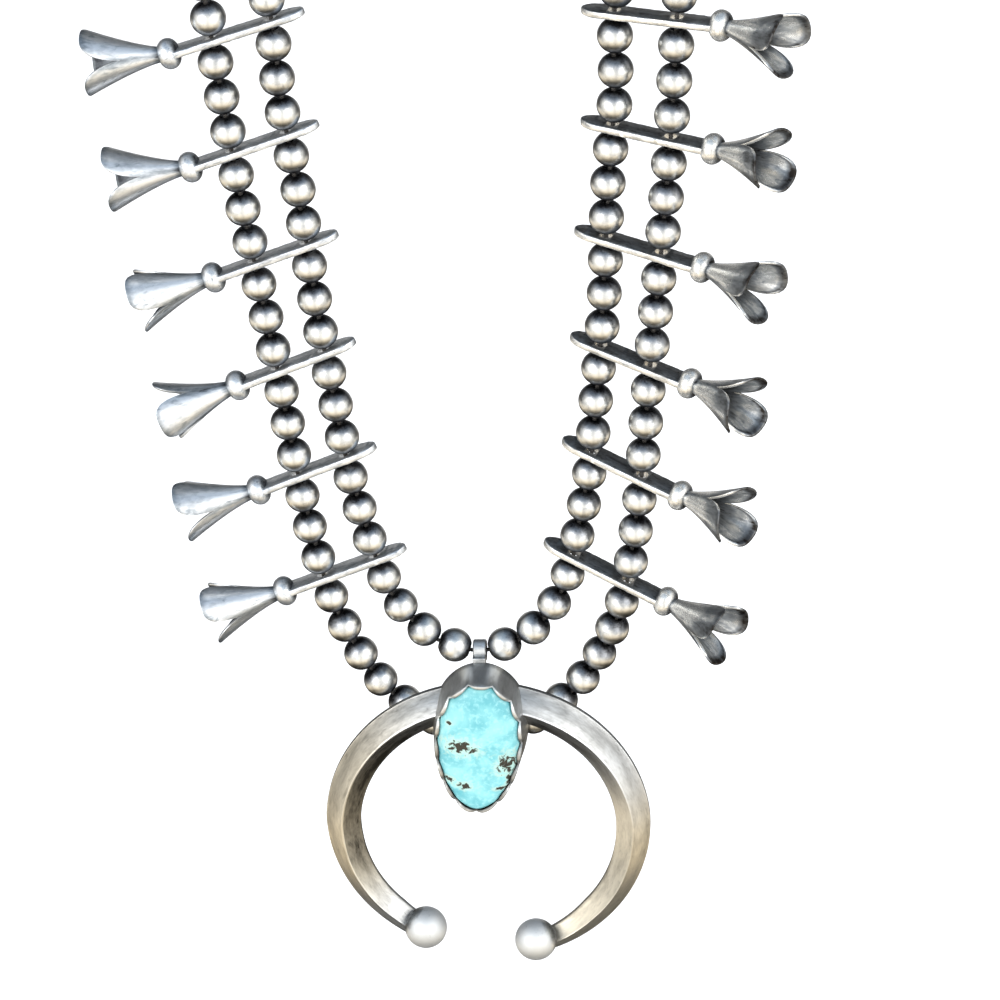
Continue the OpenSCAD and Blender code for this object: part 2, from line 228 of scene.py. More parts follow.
def spline(a, b, c, d, t):
    """A smooth curve's place between b and c, where a and d are the points beyond them."""
    return 0.5 * (2 * b + (c - a) * t + (2 * a - 5 * b + 4 * c - d) * t * t
                  + (3 * b - a - 3 * c + d) * t * t * t)


def route(front, back, forward=0):
    """Rows of (length so far, place) from the middle of the front to the clasp."""
    points = in_front(front, forward) + [Vector(p) for p in back]
    p = [mirrored(points[1])] + points + [mirrored(points[-2])]
    path = [spline(p[i - 1], p[i], p[i + 1], p[i + 2], k / SPLINE_STEPS)
            for i in range(1, len(points)) for k in range(SPLINE_STEPS)]
    path.append(points[-1])
    rows = [(0.0, path[0])]
    for before, after in zip(path, path[1:]):
        rows.append((rows[-1][0] + (after - before).length, after))
    return rows


def place(rows, s):
    """The place at a length along a route."""
    for (s0, p0), (s1, p1) in zip(rows, rows[1:]):
        if s <= s1:
            return p0.lerp(p1, (s - s0) / (s1 - s0))
    return rows[-1][1]


class HalfString:
    """One side of a string: runs of beads with room for a shank between them."""

    def __init__(self, rows, first, low_gap, room, runs):
        self.rows = rows
        self.first = first
        self.low_pitch = BEAD_D + low_gap
        self.room = room
        self.runs = runs

    def run_start(self, k):
        """Length along the route at which a run of beads starts."""
        if k == 0:
            return self.first
        later = sum(self.runs[:k]) - self.runs[0]
        return self.first + k * self.room + self.runs[0] * self.low_pitch + later * PITCH

    def bead_end(self, k, i):
        """Length along the route at which bead i of a run starts and the one before it ends."""
        return self.run_start(k) + i * (self.low_pitch if k == 0 else PITCH)

    def crossing(self, blossom):
        """The middle of a blossom's shank on this string; the blossoms count from the top."""
        return place(self.rows, self.run_start(BLOSSOMS + 1 - blossom) - self.room / 2)

    def beads(self):
        """Middle and axis of each bead."""
        for k, count in enumerate(self.runs):
            for i in range(count):
                start = place(self.rows, self.bead_end(k, i))
                end = place(self.rows, self.bead_end(k, i + 1))
                yield (start + end) / 2, (end - start).normalized()


INNER = HalfString(route(INNER_FRONT, INNER_BACK), BAIL_L / 2 + INNER_LOW_GAP, INNER_LOW_GAP,
                   INNER_ROOM, INNER_RUNS)
OUTER_LEFT = HalfString(route(OUTER_FRONT, OUTER_BACK), 0, OUTER_LOW_GAP, OUTER_ROOM_LEFT, OUTER_RUNS)
OUTER_RIGHT = HalfString(route(OUTER_FRONT, OUTER_BACK, OUTER_FORWARD), 0, OUTER_LOW_GAP,
                         OUTER_ROOM_RIGHT, OUTER_RUNS)


# Meshes

def grid_faces(rows, columns):
    """Quads of a grid of points, listed row by row, with the last column joined to the first."""
    return [[r * columns + c, r * columns + (c + 1) % columns,
             (r + 1) * columns + (c + 1) % columns, (r + 1) * columns + c]
            for r in range(rows - 1) for c in range(columns)]


def lathe(profile, segments):
    """Points and faces of a profile of (radius, height) turned about local Z."""
    points = []
    for radius, height in profile:
        for k in range(segments):
            a = 2 * math.pi * k / segments
            points.append((radius * math.cos(a), radius * math.sin(a), height))
    return points, grid_faces(len(profile), segments)


class Shape:
    """Collects the points of one piece, with their patina and painted shade, their grain, and its faces."""

    def __init__(self):
        self.points = []
        self.faces = []
        self.patina_and_shade = []
        self.grain = []

    def add(self, dots, faces, matrix=Matrix()):
        """Adds dots of (place, patina with painted shade, grain), and faces that count from the first of
        them.
        """
        start = len(self.points)
        for point, patina_and_shade, grain in dots:
            self.points.append(matrix @ Vector(point))
            self.patina_and_shade.append(patina_and_shade)
            self.grain.append(grain)
        self.faces += [[start + i for i in face] for face in faces]

    def add_capped(self, dots, columns, matrix):
        """Adds a closed form whose dots are listed row by row, with a face over each end."""
        rows = len(dots) // columns
        faces = grid_faces(rows, columns)
        for first in (0, (rows - 1) * columns):
            faces.append([first + k for k in range(columns)])
        self.add(dots, faces, matrix)

    def solid(self, name, sharp=40):
        """The object: welded, with outward faces, and smooth but for edges sharper than an angle."""
        mesh = bpy.data.meshes.new(name)
        mesh.from_pydata([p * MM for p in self.points], [], self.faces)
        mesh.attributes.new("patina_and_shade", "FLOAT", "POINT").data.foreach_set("value", self.patina_and_shade)
        flat = [value for g in self.grain for value in g]
        mesh.attributes.new("grain", "FLOAT_VECTOR", "POINT").data.foreach_set("vector", flat)
        mesh.validate()
        bm = bmesh.new()
        bm.from_mesh(mesh)
        bmesh.ops.remove_doubles(bm, verts=bm.verts, dist=WELD_DISTANCE)
        bmesh.ops.recalc_face_normals(bm, faces=bm.faces)
        for face in bm.faces:
            face.smooth = True
        for edge in bm.edges:
            if len(edge.link_faces) == 2 and edge.calc_face_angle() > math.radians(sharp):
                edge.smooth = False
        bm.to_mesh(mesh)
        bm.free()
        obj = bpy.data.objects.new(name, mesh)
        bpy.context.scene.collection.objects.link(obj)
        return obj

    def piece(self, name, body, slot, material, sharp=40):
        """The object in its material, riding on its body."""
        obj = self.solid(name, sharp)
        obj.data.materials.append(material)
        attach(obj, body)
        return obj


def drilled(shape, places, radius, length):
    """The shape with a round hole cut along the Z of each place."""
    body = shape.solid("body")
    tools = []
    for hole_place in places:
        points, faces = lathe([(radius, -length), (radius, length)], DRILL_SEGMENTS)
        faces += [list(range(DRILL_SEGMENTS)), list(range(DRILL_SEGMENTS, 2 * DRILL_SEGMENTS))]
        tool = Shape()
        tool.add([(p, 1.0, p) for p in points], faces, hole_place)
        tools.append(tool.solid("tool"))
        cut = body.modifiers.new("hole", "BOOLEAN")
        cut.operation = "DIFFERENCE"
        cut.solver = "EXACT"
        cut.object = tools[-1]
    depsgraph = bpy.context.evaluated_depsgraph_get()
    mesh = bpy.data.meshes.new_from_object(body.evaluated_get(depsgraph))
    patina_and_shade = mesh.attributes["patina_and_shade"].data
    grain = mesh.attributes["grain"].data
    dots = [(vert.co / MM, patina_and_shade[i].value, tuple(grain[i].vector)) for i, vert in enumerate(mesh.vertices)]
    result = Shape()
    result.add(dots, [list(face.vertices) for face in mesh.polygons])
    for done in tools + [body]:
        bpy.data.objects.remove(done)
    return result


# Beads

def bead_profile(radius, bore_r):
    """Radius, height and patina with painted shade from the bore over the outside and back into the bore.
    """
    lip = math.asin(BEAD_LIP_R / radius)
    wall = math.sqrt(radius ** 2 - bore_r ** 2)
    bore = [(bore_r, 0.0, 1.0), (bore_r, wall - 0.3, 1.0), (bore_r + 0.12, wall - 0.1, 0.9)]
    rows = [(r, -height, patina_and_shade) for r, height, patina_and_shade in bore]
    for i in range(BEAD_ARC):
        a = lip + (math.pi - 2 * lip) * i / (BEAD_ARC - 1)
        from_pole = min(a, math.pi - a)
        # Darker towards the holes: oxide near the holes, and painted shade where the beads touch each other
        rows.append((radius * math.sin(a), -radius * math.cos(a), 1 - smooth(from_pole, 0.55, 1.4)))
    return rows + bore[::-1]


def bead_string(name, right, left, material):
    """All the beads of one string, each with its own turn and grain."""
    shape = Shape()
    rows = bead_profile(BEAD_D / 2, BORE_D / 2)
    points, faces = lathe([(r, height) for r, height, patina_and_shade in rows], BEAD_SEGMENTS)
    patinas_and_shade = [patina_and_shade for r, height, patina_and_shade in rows for k in range(BEAD_SEGMENTS)]
    beads = list(right.beads())
    beads += [(mirrored(centre), mirrored(axis)) for centre, axis in left.beads()]
    for number, (centre, axis) in enumerate(beads):
        matrix = Matrix.Translation(centre) @ aim(axis) @ turn(BEAD_SPIN * number, "Z")
        grain = [(x + 11.3 * number, y + 5.7 * number, z) for x, y, z in points]
        shape.add(zip(points, patinas_and_shade, grain), faces, matrix)
    return shape.piece(name, STRANDS, "bead_silver", material)


# Blossoms

# What differs between the sides: the outer string, the flowers' bend, lift and roll on their
# shanks from the top down, the painted shade on the silver, slight on the left and deep on the
# right, how far out a flower's inside is darkened with painted shade, and what is added to a
# blossom's number in its grain. The left shanks are turned half round, so their lifts are
# negative.
Side = namedtuple("Side", "word outer bend lifts rolls shade deep_to seed")
LEFT = Side("left", OUTER_LEFT, 0, [-12, -11, -3, 0, -6, -4], [105, 105, 70, 30, 85, 75], 0.1, 1.25, 0)
RIGHT = Side("right", OUTER_RIGHT, 18, [0, 9, 6, 10, 16, 10], [105, 35, 105, 35, 35, 105], 0.52, 0.75, 20)


def shank_outline(span):
    """Outline of the flat shank in its plane: pointed at the inner end, square at the bead."""
    tip_x = -span - SHANK_TIP
    half = SHANK_W / 2
    upper = []
    for i in range(NOSE_STEPS + 1):
        a = math.pi / 2 * i / NOSE_STEPS
        x = tip_x + SHANK_BLUNT + (SHANK_NOSE - SHANK_BLUNT) * (1 - math.cos(a))
        upper.append((x, half * math.sin(a)))
    for i in range(1, EDGE_STEPS + 1):
        upper.append((tip_x + SHANK_NOSE + (SHANK_REACH - tip_x - SHANK_NOSE) * i / EDGE_STEPS, half))
    return upper + [(x, -y) for x, y in reversed(upper[1:])]


def shrunk(outline, margin, span):
    """The outline drawn in by a margin, towards the shank's middle line."""
    middle_low = -span - SHANK_TIP + SHANK_W
    out = []
    for x, y in outline:
        centre_x = max(x, middle_low)
        direction = Vector((x - centre_x, y))
        length = max(direction.length, TINY)
        keep = max(length - margin, 0.0) / length
        out.append((centre_x + direction.x * keep, direction.y * keep))
    return out


def faces_across(columns):
    """Strips over a flat shank face, from one side of its outline to the other."""
    faces = []
    for k in range(columns // 2):
        across = [columns - 2 - k, columns - 1 - k]
        if across[0] == k + 1:
            across = across[1:]
        faces.append([k, k + 1] + across)
    return faces


def add_shank(shape, span, number, shade, matrix):
    """A flat shank with rounded edges and small hammer marks."""
    outline = shank_outline(span)
    columns = len(outline)
    upper = [(0, SHANK_T / 2 - SHANK_BEVEL), (0.07, SHANK_T / 2 - 0.12), (SHANK_BEVEL, SHANK_T / 2)]
    levels = [(margin, -z) for margin, z in reversed(upper)] + upper
    dots = []
    for row, (margin, z) in enumerate(levels):
        # Clean edges; the flat faces take the side's painted shade, much darker on the right
        patina_and_shade = SHANK_EDGE_PATINA if margin < SHANK_BEVEL else SHANK_FACE_SHADE * shade
        for x, y in shrunk(outline, margin, span):
            dent = SHANK_DENT * (noise.noise(Vector((x * 1.7 + 31 * number, y, row * 0.7))) - 0.6)
            y += dent * (1 if y > 0 else -1)
            z_dented = z + 0.5 * dent * (-1 if z < 0 else 1)
            dots.append(((x, y, z_dented), patina_and_shade, (x * 0.5 + 17 * number, y * 2, z_dented * 2)))
    faces = grid_faces(len(levels), columns)
    for first in (0, (len(levels) - 1) * columns):
        faces += [[first + corner for corner in face] for face in faces_across(columns)]
    shape.add(dots, faces, matrix)


def add_shank_bead(shape, number, matrix):
    """The bead between shank and flower: a short drum with a half-round edge."""
    round_r = SHANK_BEAD_L / 2
    core = SHANK_BEAD_D / 2 - round_r
    rows = [(0.0, -round_r), (core, -round_r)]
    for degrees in range(12, 180, 12):
        a = math.radians(degrees)
        rows.append((core + round_r * math.sin(a), -round_r * math.cos(a)))
    rows += [(core, round_r), (0.0, round_r)]
    points, faces = lathe(rows, SHANK_BEAD_SEGMENTS)
    # Darker towards its flat ends: painted shade where the bead meets the shank and the flower
    patinas_and_shade = [1 - smooth(r, 1.6, 2.9) for r, height in rows for k in range(SHANK_BEAD_SEGMENTS)]
    grain = [(x + 7 * number, y, z) for x, y, z in points]
    shape.add(zip(points, patinas_and_shade, grain), faces, matrix @ shift(SHANK_REACH) @ turn(90, "Y"))


# A spot on a petal: shares of the flower's length, of the way from the petal's middle to its
# edge, and of the way from the neck to the rim
Spot = namedtuple("Spot", "along aside to_rim")


def outside_patina_and_shade(spot, side):
    """Dark at the neck, along the folds between the petals, and towards their tips: painted shade
    in the folds' creases, and the side's painted shade darkening the cup towards the rim.
    """
    neck = 0.7 * (1 - smooth(spot.along, 0.02, 0.14))
    fold = 0.5 * smooth(spot.aside, 0.6, 1.0) * (1 - smooth(spot.along, 0.55, 0.98))
    tip = (0.25 + 0.4 * side.shade) * smooth(spot.along, 0.88, 0.99)
    body = side.shade * (0.05 + 1.25 * smooth(spot.along, 0.42, 0.8)) * smooth(spot.aside, -0.25, 0.4)
    return min(body + neck + fold + tip, 1.0)


def rim_shade_and_highlight(spot, side):
    """Dark at a petal's tip and clean along its sides: painted shade at the tip, and a painted
    highlight along the sides.
    """
    return (0.35 + 1.1 * side.shade) * (1 - smooth(spot.aside, 0.45, 0.66))


def inside_patina_and_shade(spot, side):
    """Dark beside the rim, and painted shade deep in the trumpet, reaching further out on the left."""
    lip = (0.15 + 1.0 * side.shade) * smooth(spot.to_rim, 0.84, 0.96)
    deep = 1 - smooth(spot.along, side.deep_to - 0.35, side.deep_to)
    return min(0.22 + 0.1 * side.shade + lip + 0.6 * deep, 1.0)


def flower_r(along):
    """Outer radius at a share of the flower's length."""
    return FLOWER_NECK_D / 2 + (FLOWER_MOUTH_D - FLOWER_NECK_D) / 2 * along ** FLOWER_CURVE


def petal_columns():
    """(angle, length at the rim, share from the petal's middle) for each column round a flower."""
    columns = []
    for petal in range(PETALS):
        middle = PETAL_HALF * (1 + 2 * petal)
        for u in [-1] + [-u for u in reversed(PETAL_SHARES[1:])] + PETAL_SHARES:
            columns.append((middle + PETAL_HALF * u, FLOWER_L - PETAL_NOTCH * abs(u) ** NOTCH_POWER, u))
    return columns


def flower_rows():
    """Rows from the neck over the outside and the rim to the closed neck's end inside, as
    (start, share of the way to the rim, distance back from the rim, distance in, and the
    function that gives the patina and painted shade)."""
    rows = [(0.0, (i / FLOWER_ROWS) ** 0.9, RIM_BACK, 0.0, outside_patina_and_shade) for i in range(FLOWER_ROWS)]
    rows += [(0.0, 1.0, back, inset, rim_shade_and_highlight) for back, inset in RIM_ROUNDING]
    rows += [(NECK_CLOSED_TO, i / FLOWER_ROWS, RIM_BACK, PETAL_T, inside_patina_and_shade)
             for i in reversed(range(FLOWER_ROWS))]
    return rows


def add_flower(shape, number, side, matrix):
    """Three petals of sheet silver with rounded rims, on one hollow trumpet."""
    columns = petal_columns()
    dots = []
    for start, share, back, inset, patina_and_shade in flower_rows():
        for angle, rim, u in columns:
            x = start + (rim - back - start) * share
            t = x / FLOWER_L
            fold = PETAL_FOLD * t * t * u * u
            radius = max(flower_r(t) - inset - fold, NECK_MIN_R)
            a = math.radians(angle)
            point = (x, -radius * math.sin(a), radius * math.cos(a))
            grain = (x * 0.22 + 13 * number, 2.4 * math.cos(a), 2.4 * math.sin(a))
            dots.append((point, patina_and_shade(Spot(t, abs(u), share), side), grain))
    shape.add_capped(dots, len(columns), matrix)


def shank_place(side, number):
    """Place of a shank, whose local X runs from the outer crossing to its bead, and its span."""
    outer = side.outer.crossing(number)
    along = outer - INNER.crossing(number)
    fall = math.degrees(math.atan2(-along.z, math.hypot(along.x, along.y)))
    if side is LEFT:
        return Matrix.Translation(mirrored(outer)) @ turn(180 - fall, "Y"), along.length
    yaw = math.degrees(math.atan2(along.y, along.x))
    return Matrix.Translation(outer) @ turn(yaw, "Z") @ turn(fall, "Y"), along.length


def blossom(side, number, material):
    """One shank with its bead and flower."""
    matrix, span = shank_place(side, number)
    seed = number + side.seed
    shank = Shape()
    add_shank(shank, span, seed, side.shade, matrix)
    crossings = [matrix @ shift(x) for x in (0, -span)]
    shape = drilled(shank, crossings, DRILL_D / 2, 2 * SHANK_T)
    add_shank_bead(shape, seed, matrix)
    lift = side.lifts[number - 1]
    roll = side.rolls[number - 1]
    flower_turn = turn(-side.bend, "Z") @ turn(-lift, "Y") @ turn(roll, "X")
    neck = shift(SHANK_BEAD_L / 2 - FLOWER_LAP)
    add_flower(shape, seed, side, matrix @ shift(SHANK_REACH) @ flower_turn @ neck)
    word = side.word
    piece = shape.piece("blossom_%s_%d_silver" % (word, number), STRANDS, "blossom_silver", material)
    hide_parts("blossom_%s_%d" % (word, number))


# Naja

NAJA_PLACE = shift(0, NAJA_Y, NAJA_Z)
BEZEL_PLACE = NAJA_PLACE @ shift(BEZEL_X, 0, BAIL_Z - NAJA_Z - BEZEL_DROP) @ turn(BEZEL_LEAN, "Y")
BAIL_PLACE = shift(0, FRONT_Y, BAIL_Z)


def arm_r(signed):
    """Outer radius of the crescent at an angle from its top, negative on the left."""
    inward = ARM_IN_LEFT if signed < 0 else ARM_IN_RIGHT
    return NAJA_R - inward * lookup(abs(signed), ARM_IN_SHARE)


def arm_section(a):
    """Points of an arm's section, as (share from the inner edge, height, patina)."""
    ridge = lookup(a, RIDGE_HEIGHTS)
    low = ARM_EDGE_H
    rise = 0.62 * ridge - low
    inner_face = [(0.0, 0.0, 0.6), (0.0, 0.8 * low, 0.5), (0.012, low, 0.3),
                  (0.09, low + 0.3 * rise, 0.45), (0.17, low + 0.62 * rise, 0.5),
                  (0.25, 0.61 * ridge, 0.46), (0.37, 0.79 * ridge, 0.4), (0.465, 0.95 * ridge, 0.32)]
    crown = [(0.478, 0.975 * ridge, 0.0), (0.5, ridge, 0.0), (0.522, 0.975 * ridge, 0.0)]
    outer_face = [(0.54, 0.95 * ridge, 0.24), (0.64, 0.82 * ridge, 0.2), (0.75, 0.65 * ridge, 0.2),
                  (0.86, low + 0.53 * rise, 0.22), (0.97, 1.04 * low, 0.3), (0.992, 0.93 * low, 0.1),
                  (1.0, 0.7 * low, 0.2), (1.0, 0.0, 0.6)]
    return inner_face + crown + outer_face


def arm_shade(signed, share):
    """Extra painted shade and light, set by how each face took the light: painted shade at the top
    and inside the left arm, painted light inside the right arm and at the ends. The ridge's crest
    gets none."""
    if 0.47 < share < 0.53:
        return 0.0
    shoulder = 0.28 * (1 - smooth(abs(signed), 30, 75))
    if share > 0.5:
        left = 0.08 * smooth(-signed, 15, 50) * (1 - smooth(-signed, 70, 110))
        return shoulder + left - 0.12 * smooth(signed, 90, 125)
    dark = shoulder + 0.45 * smooth(-signed, 20, 60) * (1 - smooth(-signed, 90, 118))
    # Painted light on the right arm's inner face and towards the left end
    painted_light = 0.35 * smooth(signed, 40, 80) + 0.42 * smooth(-signed, 100, 135)
    return dark - painted_light


def add_crescent(shape):
    """Both arms in one sweep, from the left end over the top to the right end."""
    left_end = 180 - BALL_ANGLE_LEFT - ARM_END_LAP
    right_end = 180 - BALL_ANGLE_RIGHT - ARM_END_LAP
    dots = []
    for i in range(ARM_RINGS + 1):
        signed = -left_end + (left_end + right_end) * i / ARM_RINGS
        angle = math.radians(signed)
        width = lookup(abs(signed), ARM_WIDTHS)
        section = arm_section(abs(signed))
        for share, height, patina_and_shade in section:
            radius = arm_r(signed) - width * (1 - share)
            wave = ARM_WAVE * noise.noise(Vector((signed * 0.09, share * 3, 4.0)))
            point = (radius * math.sin(angle), -height * (1 - abs(wave)), radius * math.cos(angle))
            shaded = min(max(patina_and_shade + arm_shade(signed, share), 0.0), 1.0)
            dots.append((point, shaded, (signed * ARM_GRAIN, share * 5, height * 0.8)))
    shape.add_capped(dots, len(section), NAJA_PLACE)


def add_ball(shape, sign, angle):
    """A ball end, dark where it meets its arm; sign is -1 for the left one and 1 for the right."""
    ball_r = arm_r(sign * (180 - angle)) - ARM_W_END
    a = math.radians(angle)
    centre = Vector((sign * ball_r * math.sin(a), -ARM_H_END, -ball_r * math.cos(a)))
    to_arm = Vector((sign * math.cos(a), 0.25, math.sin(a))).normalized()
    rings = [math.pi * i / BALL_RINGS for i in range(BALL_RINGS + 1)]
    rows = [(BALL_D / 2 * math.sin(ring), -BALL_D / 2 * math.cos(ring)) for ring in rings]
    points, faces = lathe(rows, BALL_SEGMENTS)
    tilt = aim(to_arm)
    dots = []
    for p in points:
        toward = (tilt @ Vector(p)).normalized().dot(to_arm)
        grain = (p[0] * 0.8, p[1] * 0.8 + 9 * sign, p[2] * 0.8)
        dots.append((p, 1.1 * smooth(toward, 0.55, 0.85) + BALL_PATINA, grain))
    shape.add(dots, faces, NAJA_PLACE @ Matrix.Translation(centre) @ tilt)


def egg(margin, a):
    """Outline of the bezel and stone at an angle, grown or shrunk by a margin."""
    half_w = BEZEL_W / 2 + margin
    half_l = BEZEL_L / 2 + margin
    return half_w * math.cos(a) * (1 + EGG_TAPER * math.sin(a)), half_l * math.sin(a)


def even_angles(count):
    """Angles from the egg's top that part its outline into stretches of equal length."""
    fine = [2 * math.pi * i / EGG_STEPS + math.pi / 2 for i in range(EGG_STEPS + 1)]
    places = [Vector(egg(0, a)) for a in fine]
    lengths = [0.0]
    for before, after in zip(places, places[1:]):
        lengths.append(lengths[-1] + (after - before).length)
    table = list(zip(lengths, fine))
    return [lookup(lengths[-1] * k / count, table) for k in range(count)]


def bezel_section(lobe):
    """(margin, height, patina) from the back up the wall, over the rim and down inside to the
    plate. lobe is 1 at the middle of a scallop and 0 at a notch."""
    rim = BEZEL_H - SCALLOP_DEPTH * (1 - lobe) ** 1.5
    rows = [(BEZEL_FLARE - 0.5, BEZEL_FOOT, 0.35)]
    for i in range(BEZEL_WALL_ROWS + 1):
        share = i / BEZEL_WALL_ROWS
        margin = BEZEL_FLARE * (1 - share) ** 1.3 - 0.1 * lobe * share ** 6
        height = BEZEL_FOOT + share * (rim - 0.28 - BEZEL_FOOT)
        foot = 0.5 * (1 - smooth(share, 0.0, 0.22))
        rows.append((margin, height, 0.3 + foot + 0.3 * smooth(share, 0.6, 1.0) * (1 - lobe)))
    folded_rim = [(-0.12 - 0.1 * lobe, rim - 0.06, 0.05), (-0.28 - 0.28 * lobe, rim, 0.0),
                  (-0.48 - 0.44 * lobe, rim - 0.12, 0.45), (-BEZEL_T - 0.16 * lobe, rim - 0.5, 0.9)]
    return rows + folded_rim + [(-BEZEL_T, BEZEL_H - 2.2, 1.0), (-BEZEL_T, PLATE_T, 1.0)]


def add_bezel(shape):
    """The tall scalloped wall that flares towards its foot, and the plate that closes it."""
    columns = SCALLOPS * SCALLOP_POINTS
    angles = even_angles(columns)
    sections = [bezel_section(abs(math.cos(math.pi * k / SCALLOP_POINTS))) for k in range(columns)]
    dots = []
    for row in range(len(sections[0])):
        for a, section in zip(angles, sections):
            margin, height, patina_and_shade = section[row]
            x, z = egg(margin, a)
            # Darker over the bezel's lower half: painted shade
            below = 1 - smooth(math.sin(a), -0.1, 0.5)
            grain = (4.5 * math.cos(a), 4.5 * math.sin(a), height * 0.12)
            dots.append(((x, -height, z), min(patina_and_shade + 0.35 * below, 1.0), grain))
    shape.add_capped(dots, columns, BEZEL_PLACE)


def add_bail(shape):
    """The tube on the inner thread, and the strap that joins it to the naja's back."""
    outer_r = BAIL_D / 2
    inner_r = BAIL_BORE_D / 2
    half = BAIL_L / 2
    profile = [(inner_r, -half + 0.15), (inner_r + 0.15, -half), (outer_r - 0.2, -half),
               (outer_r, -half + 0.2), (outer_r, half - 0.2), (outer_r - 0.2, half),
               (inner_r + 0.15, half), (inner_r, half - 0.15), (inner_r, -half + 0.15)]
    points, faces = lathe(profile, BAIL_SEGMENTS)
    patinas_and_shade = [0.2 if r > inner_r + 0.3 else 0.8 for r, height in profile for k in range(BAIL_SEGMENTS)]
    grain = [(x, y, z * 0.3) for x, y, z in points]
    shape.add(zip(points, patinas_and_shade, grain), faces, BAIL_PLACE @ turn(90, "Y"))
    strap_t = NAJA_BACK - outer_r + 0.5
    front = -NAJA_BACK - 0.2
    add_plate(shape, (-half, front, -STRAP_L), (half, front + strap_t, 0.2), BAIL_PLACE)


def add_plate(shape, low, high, matrix):
    """A small plate with rounded edges between two corners."""
    bm = bmesh.new()
    bmesh.ops.create_cube(bm, size=1.0)
    size = [high[i] - low[i] for i in range(3)]
    for vert in bm.verts:
        vert.co = Vector([(low[i] + high[i]) / 2 + vert.co[i] * size[i] for i in range(3)])
    bmesh.ops.bevel(bm, geom=bm.edges[:], offset=STRAP_BEVEL, segments=3, profile=0.5, affect="EDGES")
    bm.verts.index_update()
    dots = [(vert.co.copy(), 0.4, tuple(vert.co)) for vert in bm.verts]
    faces = [[vert.index for vert in face.verts] for face in bm.faces]
    bm.free()
    shape.add(dots, faces, matrix)


def naja(material):
    """The crescent with its ball ends, bezel and bail."""
    shape = Shape()
    add_crescent(shape)
    add_ball(shape, -1, BALL_ANGLE_LEFT)
    add_ball(shape, 1, BALL_ANGLE_RIGHT)
    add_bezel(shape)
    add_bail(shape)
    piece = shape.piece("naja_silver", PENDANT, "cast_silver", material, sharp=35)
    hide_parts("naja")


# Turquoise

def stone(material):
    """The stone inside the bezel: straight sides, and a worn, slightly uneven dome."""
    margin = -BEZEL_T - STONE_GAP
    shoulder = BEZEL_H - STONE_SIDE_BELOW_RIM
    top = BEZEL_H + STONE_RISE
    levels = [(1.0, PLATE_T + STONE_GAP), (1.0, shoulder)]
    for i in range(1, STONE_DOME_ROWS + 1):
        a = math.pi / 2 * i / STONE_DOME_ROWS
        scale = max(math.cos(a), STONE_TOP_SCALE) ** STONE_FULLNESS
        levels.append((scale, shoulder + (top - shoulder) * math.sin(a)))
    dots = []
    for scale, height in levels:
        for k in range(STONE_COLUMNS):
            x, z = egg(margin, 2 * math.pi * k / STONE_COLUMNS)
            uneven = STONE_UNEVEN * abs(noise.noise(Vector((x * scale * 0.25, z * scale * 0.25, 2.0))))
            y = -height + uneven * smooth(height, shoulder, shoulder + 1)
            dots.append(((x * scale, y, z * scale), 0.0, (x * scale, z * scale, y)))
    shape = Shape()
    shape.add_capped(dots, STONE_COLUMNS, BEZEL_PLACE)
    piece = shape.piece("turquoise_stone", PENDANT, "turquoise", material, sharp=60)
    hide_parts("turquoise")


# Materials

class Nodes:
    """Short calls for building one material's or the world's node tree."""

    def __init__(self, tree):
        self.tree = tree

    def add(self, kind, **values):
        node = self.tree.nodes.new(kind)
        for key, value in values.items():
            setattr(node, key, value)
        return node

    def fill(self, node, key, value):
        """Links an output to a node's input, or sets the input to a constant."""
        if hasattr(value, "is_output"):
            self.tree.links.new(value, node.inputs[key])
        else:
            node.inputs[key].default_value = value

    def attribute(self, name, output):
        return self.add("ShaderNodeAttribute", attribute_name=name).outputs[output]

    def separate(self, vector):
        """The X, Y and Z of a vector."""
        node = self.add("ShaderNodeSeparateXYZ")
        self.fill(node, 0, vector)
        return node.outputs

    def object_mm(self):
        """The object's own coordinates in millimetres."""
        node = self.add("ShaderNodeVectorMath", operation="SCALE")
        self.fill(node, 0, self.add("ShaderNodeTexCoord").outputs["Object"])
        self.fill(node, "Scale", 1 / MM)
        return node.outputs[0]

    def math(self, operation, a, b=0.0, clamp=False):
        node = self.add("ShaderNodeMath", operation=operation, use_clamp=clamp)
        self.fill(node, 0, a)
        self.fill(node, 1, b)
        return node.outputs[0]

    def remap(self, value, span, target):
        """A smooth step that takes the ends of span to the ends of target."""
        node = self.add("ShaderNodeMapRange", interpolation_type="SMOOTHSTEP")
        for key, entry in enumerate((value, *span, *target)):
            self.fill(node, key, entry)
        return node.outputs[0]

    def noise(self, coordinates, scale, detail=3.0, distortion=0.0):
        node = self.add("ShaderNodeTexNoise")
        self.fill(node, "Vector", coordinates)
        self.fill(node, "Scale", scale)
        self.fill(node, "Detail", detail)
        self.fill(node, "Distortion", distortion)
        return node.outputs["Fac"]

    def mix(self, share, a, b, blend="MIX"):
        """Mixes two colours; inputs 6 and 7 and output 2 are the node's colour sockets."""
        node = self.add("ShaderNodeMix", data_type="RGBA", blend_type=blend)
        self.fill(node, 0, share)
        self.fill(node, 6, a)
        self.fill(node, 7, b)
        return node.outputs[2]

    def ramp(self, value, tones, middle_at):
        """Colours from the first tone at 0 over the second to the third at 1."""
        node = self.add("ShaderNodeValToRGB")
        self.fill(node, 0, value)
        stops = node.color_ramp.elements
        stops[0].color = tones[0]
        stops[1].color = tones[2]
        stops.new(middle_at).color = tones[1]
        return node.outputs["Color"]

    def bump(self, height, strength, distance):
        node = self.add("ShaderNodeBump")
        self.fill(node, "Height", height)
        self.fill(node, "Strength", strength)
        self.fill(node, "Distance", distance)
        return node.outputs["Normal"]


def new_material(name):
    material = bpy.data.materials.new(name)
    material.use_nodes = True
    tree = material.node_tree
    return material, Nodes(tree), tree.nodes["Principled BSDF"]


